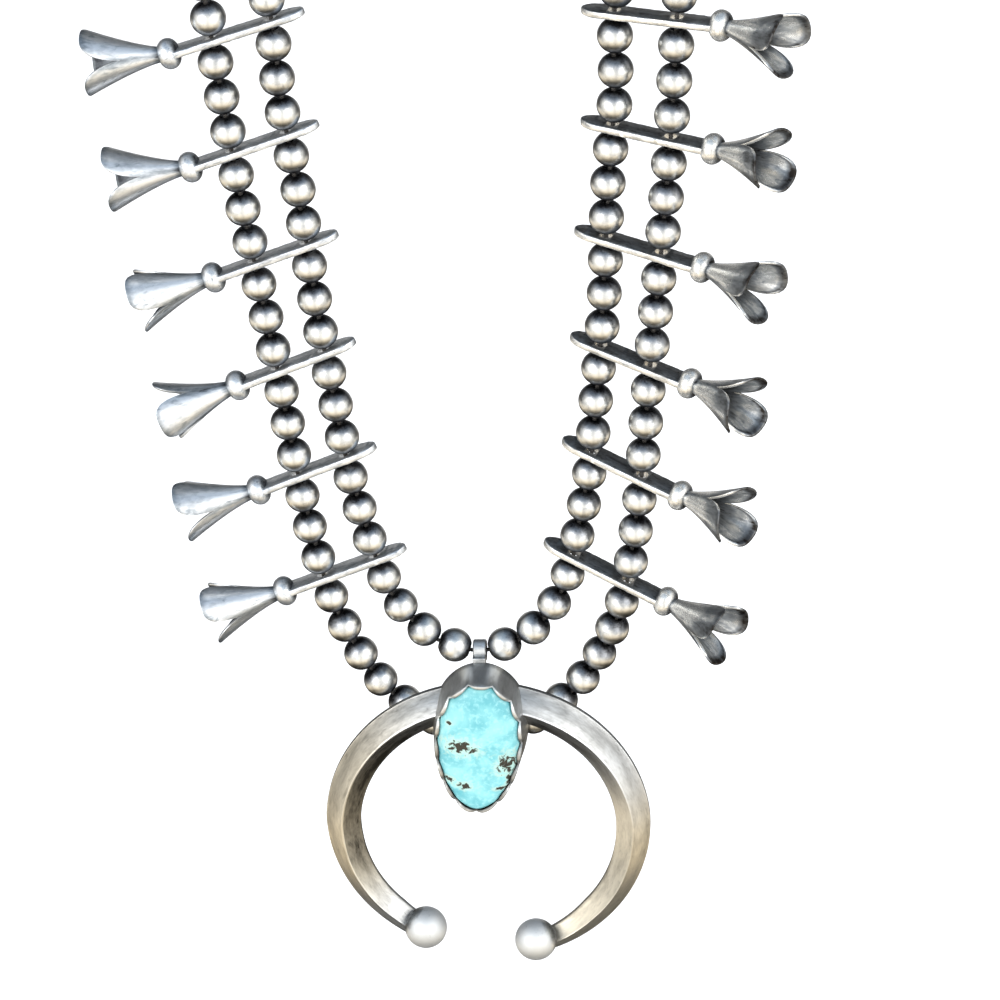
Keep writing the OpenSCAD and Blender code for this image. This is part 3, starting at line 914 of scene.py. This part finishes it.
# Clean, half-tarnished and fully tarnished tones of each silver
MIDDLE_TONE_AT = 0.45
BEAD_TONES = [(0.87, 0.88, 0.86, 1), (0.36, 0.38, 0.41, 1), (0.03, 0.03, 0.034, 1)]
# The two blossom tones are one silver: the right-hand half and full tarnish tones are darker, painted shade
# for that side
LEFT_TONES = [(0.86, 0.89, 0.92, 1), (0.36, 0.4, 0.44, 1), (0.06, 0.065, 0.075, 1)]
RIGHT_TONES = [(0.95, 0.94, 0.9, 1), (0.3, 0.32, 0.34, 1), (0.022, 0.018, 0.015, 1)]
CAST_TONES = [(0.84, 0.84, 0.83, 1), (0.46, 0.455, 0.44, 1), (0.055, 0.053, 0.048, 1)]

# Degrees from the crescent's top: the middle of its cool stretch, and counted from there
# the end of that stretch, the warm stretch, and the cool end of the longer left arm
COOL_MIDDLE = 20
COOL_HALF = 35
WARM_FROM = 85
WARM_TO = 125
COOL_END = 155
COOL_TINT = (0.94, 0.97, 1.0, 1)
WARM_TINT = (1.0, 0.93, 0.78, 1)

CLASP_CLEAN = (0.86, 0.85, 0.82, 1)
CLASP_TARNISHED = (0.3, 0.29, 0.28, 1)
THREAD_DARK = (0.035, 0.032, 0.03, 1)
THREAD_LIGHT = (0.1, 0.095, 0.09, 1)
STONE_DEEP = (0.13, 0.46, 0.51, 1)
STONE_BLUE = (0.3, 0.68, 0.69, 1)
STONE_PALE = (0.42, 0.77, 0.78, 1)
STONE_HALO = (0.5, 0.66, 0.56, 1)
MATRIX_BLACK = (0.01, 0.007, 0.005, 1)
MATRIX_BROWN = (0.06, 0.035, 0.02, 1)

# Brown matrix in the stone: x and z from its middle and the two radii, in millimetres
MATRIX_SPOTS = [(-3.5, 1.4, 2.5, 1.4), (6.1, -2.3, 1.8, 1.9), (-2.4, -7.7, 1.1, 0.8), (6.4, -5.6, 0.5, 1.7),
                (5.0, -8.2, 1.3, 0.4), (-5.4, -6.8, 0.9, 0.6), (-5.9, 6.2, 0.5, 0.4)]


def silver(name, tones, rough, streaks, speckle, metallic, tint=None):
    """Oxidised silver: the tone follows the patina attribute, tarnish with painted shade and
    highlights in it, and the brushing the grain one.
    rough gives the least and greatest roughness, streaks the depth of the brushing, and
    speckle how much the tarnish varies from spot to spot."""
    material, nodes, shader = new_material(name)
    grain = nodes.attribute("grain", "Vector")
    patina_and_shade = nodes.attribute("patina_and_shade", "Fac")
    cloud = nodes.noise(grain, 0.55, 4.0, 0.4)
    fine = nodes.noise(grain, 3.2, 5.0)
    spots = nodes.remap(nodes.noise(grain, 1.6, 6.0, 0.8), (0.56, 0.72), (0.0, speckle))
    # The patina brings its painted shade and highlights into this tarnish too
    tarnish = nodes.math("ADD", nodes.math("MULTIPLY", patina_and_shade, 0.92), spots)
    tarnish = nodes.math("ADD", tarnish, nodes.remap(cloud, (0.35, 0.75), (-0.08, 0.2)))
    dots = nodes.remap(fine, (0.3, 0.7), (-0.4 * speckle, 0.4 * speckle))
    tarnish = nodes.math("ADD", tarnish, dots, clamp=True)
    colour = nodes.ramp(tarnish, tones, MIDDLE_TONE_AT)
    nodes.fill(shader, "Base Color", tint(nodes, grain, colour) if tint else colour)
    nodes.fill(shader, "Metallic", metallic)
    dull = nodes.math("ADD", nodes.math("MULTIPLY", fine, 0.6), nodes.math("MULTIPLY", tarnish, 0.4))
    roughness = nodes.remap(dull, (0.2, 0.8), rough)
    # The ball ends, where the patina is below 0, are clean with a softer sheen
    satin = nodes.remap(patina_and_shade, (BALL_PATINA, 0.0), (0.22, 0.0))
    nodes.fill(shader, "Roughness", nodes.math("ADD", roughness, satin))
    height = nodes.math("ADD", nodes.math("MULTIPLY", fine, streaks), nodes.math("MULTIPLY", cloud, 0.5))
    nodes.fill(shader, "Normal", nodes.bump(height, 0.35, 0.0001))
    return material


def warm_arms(nodes, grain, colour):
    """Tints the crescent: cool at the top beside the bezel, warm further down the arms."""
    along = nodes.math("SUBTRACT", nodes.separate(grain)[0], COOL_MIDDLE * ARM_GRAIN)
    along = nodes.math("ABSOLUTE", along)
    warm = nodes.remap(along, (COOL_HALF * ARM_GRAIN, WARM_FROM * ARM_GRAIN), (0.0, 1.0))
    end = nodes.remap(along, (WARM_TO * ARM_GRAIN, COOL_END * ARM_GRAIN), (1.0, 0.1))
    warm = nodes.math("MULTIPLY", warm, end)
    return nodes.mix(1.0, colour, nodes.mix(warm, COOL_TINT, WARM_TINT), "MULTIPLY")


def clasp_silver():
    """Plain polished silver for the clasp at the nape, with light tarnish."""
    material, nodes, shader = new_material("clasp_silver")
    place_mm = nodes.object_mm()
    cloud = nodes.noise(place_mm, 0.5, 4.0, 0.5)
    fine = nodes.noise(place_mm, 5.0, 4.0)
    tarnish = nodes.remap(cloud, (0.4, 0.7), (0.0, 0.75))
    nodes.fill(shader, "Base Color", nodes.mix(tarnish, CLASP_CLEAN, CLASP_TARNISHED))
    nodes.fill(shader, "Metallic", 1.0)
    nodes.fill(shader, "Roughness", nodes.remap(fine, (0.3, 0.7), (0.22, 0.38)))
    nodes.fill(shader, "Normal", nodes.bump(fine, 0.2, 0.00005))
    return material


def thread_material():
    """Dark twisted thread: fine slanting ply lines with a dull finish."""
    material, nodes, shader = new_material("thread")
    wave = nodes.add("ShaderNodeTexWave", wave_type="BANDS", bands_direction="DIAGONAL")
    nodes.fill(wave, "Vector", nodes.object_mm())
    nodes.fill(wave, "Scale", 1.6)
    nodes.fill(wave, "Distortion", 1.2)
    ply = wave.outputs["Fac"]
    nodes.fill(shader, "Base Color", nodes.mix(ply, THREAD_DARK, THREAD_LIGHT))
    nodes.fill(shader, "Roughness", 0.75)
    nodes.fill(shader, "Normal", nodes.bump(ply, 0.6, 0.0001))
    return material


def matrix_distance(nodes, place_mm):
    """Ragged distance from the nearest matrix spot, where 1 is its edge."""
    x, z = nodes.separate(place_mm)[:2]
    ragged = nodes.remap(nodes.noise(place_mm, 0.9, 5.0, 1.0), (0.25, 0.75), (-0.75, 0.75))
    nearest = None
    for spot_x, spot_z, radius_x, radius_z in MATRIX_SPOTS:
        across = nodes.math("DIVIDE", nodes.math("SUBTRACT", x, spot_x), radius_x)
        upward = nodes.math("DIVIDE", nodes.math("SUBTRACT", z, spot_z), radius_z)
        squares = nodes.math("ADD", nodes.math("POWER", across, 2.0), nodes.math("POWER", upward, 2.0))
        distance = nodes.math("ADD", nodes.math("SQRT", squares), ragged)
        nearest = distance if nearest is None else nodes.math("MINIMUM", nearest, distance)
    return nearest


def turquoise_material():
    """Clouded blue-green stone with brown matrix in a pale halo."""
    material, nodes, shader = new_material("turquoise")
    place_mm = nodes.attribute("grain", "Vector")
    cloud = nodes.noise(place_mm, 0.16, 5.0, 0.8)
    fine = nodes.noise(place_mm, 1.1, 6.0, 0.3)
    colour = nodes.mix(nodes.remap(cloud, (0.34, 0.68), (0, 1)), STONE_DEEP, STONE_BLUE)
    colour = nodes.mix(nodes.remap(fine, (0.45, 0.72), (0, 0.55)), colour, STONE_PALE)
    distance = matrix_distance(nodes, place_mm)
    colour = nodes.mix(nodes.remap(distance, (0.9, 2.2), (0.7, 0.0)), colour, STONE_HALO)
    brown = nodes.mix(nodes.noise(place_mm, 1.8, 5.0), MATRIX_BLACK, MATRIX_BROWN)
    core = nodes.remap(distance, (0.6, 1.0), (0.96, 0.0))
    nodes.fill(shader, "Base Color", nodes.mix(core, colour, brown))
    nodes.fill(shader, "Roughness", nodes.remap(fine, (0.3, 0.7), (0.3, 0.42)))
    nodes.fill(shader, "Specular IOR Level", nodes.remap(core, (0.0, 1.0), (0.45, 0.08)))
    nodes.fill(shader, "Coat Weight", nodes.remap(core, (0.0, 1.0), (0.25, 0.0)))
    nodes.fill(shader, "Coat Roughness", 0.18)
    pits = nodes.math("ADD", nodes.math("MULTIPLY", fine, 0.5), nodes.math("MULTIPLY", core, -0.8))
    nodes.fill(shader, "Normal", nodes.bump(pits, 0.3, 0.0002))
    return material


# Camera, light and stage, in metres and degrees

CAMERA_AZIMUTH = 5.0
CAMERA_ELEVATION = 27.0
CAMERA_ROLL = -3.2
CAMERA_DISTANCE = 0.846
CAMERA_TARGET = Vector((0.00565, -0.118, -0.1665))
CLIP_START = 0.01
FOCAL_PIXELS = 4325
IMAGE_PIXELS = 1000
SENSOR_MM = 36
LIGHT_TARGET = (0, -0.1, -0.15)
LIGHT_WHITE = (1.0, 0.98, 0.95)
FRONT_LIGHT = (0.078, -0.888, 0.454)
WORLD_STRENGTH = 1.35
WORLD_WARM = (1.0, 0.84, 0.6, 1)
WORLD_WHITE = (*LIGHT_WHITE, 1)
WORLD_BLUE = (0.5, 0.66, 0.86, 1)
STAGE_R = 5
STAGE_SEGMENTS = 96
FLOOR_Z = -0.42
WALL_TOP_Z = 3.5
STAGE_COLOUR = (0.9, 0.9, 0.9, 1)
STAGE_ROUGHNESS = 0.9
STAGE_GLOW = 0.85


def add_camera():
    """The camera stands a little to the right of the middle and looks down."""
    a = math.radians(CAMERA_AZIMUTH)
    e = math.radians(CAMERA_ELEVATION)
    back = Vector((math.sin(a) * math.cos(e), -math.cos(a) * math.cos(e), math.sin(e)))
    right = Vector((math.cos(a), math.sin(a), 0))
    upright = Matrix((right, back.cross(right), back)).transposed().to_4x4()
    data = bpy.data.cameras.new("camera")
    data.sensor_width = SENSOR_MM
    data.lens = FOCAL_PIXELS * SENSOR_MM / IMAGE_PIXELS
    data.clip_start = CLIP_START
    camera = bpy.data.objects.new("camera", data)
    place_at = Matrix.Translation(CAMERA_TARGET + back * CAMERA_DISTANCE)
    camera.matrix_world = place_at @ upright @ turn(CAMERA_ROLL, "Z")
    bpy.context.scene.collection.objects.link(camera)
    bpy.context.scene.camera = camera


def add_area(name, location, size, energy):
    """A rectangular light that points at the middle of the necklace's front."""
    data = bpy.data.lights.new(name, "AREA")
    data.shape = "RECTANGLE"
    data.size, data.size_y = size
    data.energy = energy
    data.color = LIGHT_WHITE
    light = bpy.data.objects.new(name, data)
    light.location = location
    aimed = Vector(LIGHT_TARGET) - Vector(location)
    light.rotation_euler = aimed.to_track_quat("-Z", "Y").to_euler()
    bpy.context.scene.collection.objects.link(light)


def world_strength(nodes, direction, sideways, depth, height):
    """Bright in front but for a dimmer strip in the middle, dim above and below, dark behind
    with a soft light low down at the back and one on each side."""
    facing = nodes.add("ShaderNodeVectorMath", operation="DOT_PRODUCT")
    nodes.fill(facing, 0, direction)
    nodes.fill(facing, 1, FRONT_LIGHT)
    front = nodes.remap(facing.outputs["Value"], (-0.35, 0.5), (0.02, 1.0))
    top = nodes.remap(height, (0.55, 0.97), (1.0, 0.45))
    below = nodes.remap(height, (-0.98, -0.5), (0.15, 1.0))
    from_strip = nodes.math("ABSOLUTE", nodes.math("SUBTRACT", sideways, 0.06))
    strip = nodes.remap(from_strip, (0.02, 0.13), (0.45, 1.0))
    strip = nodes.math("MAXIMUM", strip, nodes.remap(height, (0.4, 0.6), (0.0, 1.0)))
    strength = front
    for share in (top, below, strip):
        strength = nodes.math("MULTIPLY", strength, share)
    beside = nodes.remap(nodes.math("ABSOLUTE", sideways), (0.5, 0.85), (0.0, 0.8))
    low = nodes.remap(height, (-0.4, -0.2), (1.0, 0.0))
    strength = nodes.math("MAXIMUM", strength, nodes.math("MULTIPLY", beside, low))
    behind = nodes.remap(depth, (0.7, 0.95), (0.0, 0.4))
    behind = nodes.math("MULTIPLY", behind, nodes.remap(height, (0.05, 0.4), (1.0, 0.0)))
    return nodes.math("MAXIMUM", strength, behind)


def add_world():
    """Soft studio surroundings: white all round, warm from below and blue from above."""
    world = bpy.data.worlds.new("studio")
    bpy.context.scene.world = world
    world.use_nodes = True
    nodes = Nodes(world.node_tree)
    background = world.node_tree.nodes["Background"]
    direction = nodes.add("ShaderNodeTexCoord").outputs["Generated"]
    sideways, depth, height = nodes.separate(direction)
    colour = nodes.mix(nodes.remap(height, (-0.7, -0.15), (0, 1)), WORLD_WARM, WORLD_WHITE)
    colour = nodes.mix(nodes.remap(height, (0.5, 0.9), (0, 1)), colour, WORLD_BLUE)
    strength = world_strength(nodes, direction, sideways, depth, height)
    nodes.fill(background, 0, colour)
    nodes.fill(background, 1, nodes.math("MULTIPLY", strength, WORLD_STRENGTH))


def stage_piece(name, points, faces, material):
    """A part of the stage that the silver doesn't reflect."""
    mesh = bpy.data.meshes.new(name)
    mesh.from_pydata(points, [], faces)
    mesh.materials.append(material)
    piece = bpy.data.objects.new(name, mesh)
    piece.visible_glossy = False
    bpy.context.scene.collection.objects.link(piece)
    return piece


def add_stage():
    """A white floor, and far round it a white wall that lets the light of the studio through."""
    material, nodes, shader = new_material("stage_white")
    nodes.fill(shader, "Base Color", STAGE_COLOUR)
    nodes.fill(shader, "Roughness", STAGE_ROUGHNESS)
    nodes.fill(shader, "Emission Color", (1, 1, 1, 1))
    nodes.fill(shader, "Emission Strength", STAGE_GLOW)
    points, wall_faces = lathe([(STAGE_R, FLOOR_Z), (STAGE_R, WALL_TOP_Z)], STAGE_SEGMENTS)
    stage_piece("floor", points[:STAGE_SEGMENTS], [list(range(STAGE_SEGMENTS))], material)
    wall = stage_piece("wall", points, wall_faces, material)
    wall.visible_diffuse = False
    wall.visible_shadow = False


def dress_cad_nodes():
    """Gives the threads and the clasp, which keep their solids, their materials."""
    thread = thread_material()
    for name, material in (("inner_thread", thread), ("outer_thread", thread), ("clasp", clasp_silver())):
        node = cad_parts[name]
        node.data.materials.clear()
        node.data.materials.append(material)


def main():
    bead_silver = silver("bead_silver", BEAD_TONES, rough=(0.3, 0.4), streaks=0.3, speckle=0.12,
                         metallic=1.0)
    # The left and right blossoms share one silver; the right copy is darker, painted shade for that side
    left_silver = silver("blossom_silver_left", LEFT_TONES, rough=(0.32, 0.46), streaks=0.8, speckle=0.28,
                         metallic=0.88)
    right_silver = silver("blossom_silver_right", RIGHT_TONES, rough=(0.25, 0.4), streaks=0.8, speckle=0.25,
                          metallic=0.8)
    cast_silver = silver("cast_silver", CAST_TONES, rough=(0.36, 0.48), streaks=0.8, speckle=0.14,
                         metallic=0.92, tint=warm_arms)
    inner = bead_string("inner_silver_beads", INNER, INNER, bead_silver)
    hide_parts("inner_beads")
    outer = bead_string("outer_silver_beads", OUTER_RIGHT, OUTER_LEFT, bead_silver)
    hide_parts("outer_beads")
    for number in range(1, BLOSSOMS + 1):
        blossom(LEFT, number, left_silver)
        blossom(RIGHT, number, right_silver)
    naja(cast_silver)
    stone(turquoise_material())
    dress_cad_nodes()
    add_camera()
    add_world()
    add_area("left_softbox", (-0.75, -1.1, 0.35), (0.7, 0.9), energy=5)
    add_area("right_softbox", (0.85, -1.0, 0.3), (0.6, 0.9), energy=4)
    add_stage()
    bpy.context.scene.view_settings.view_transform = "Standard"


main()
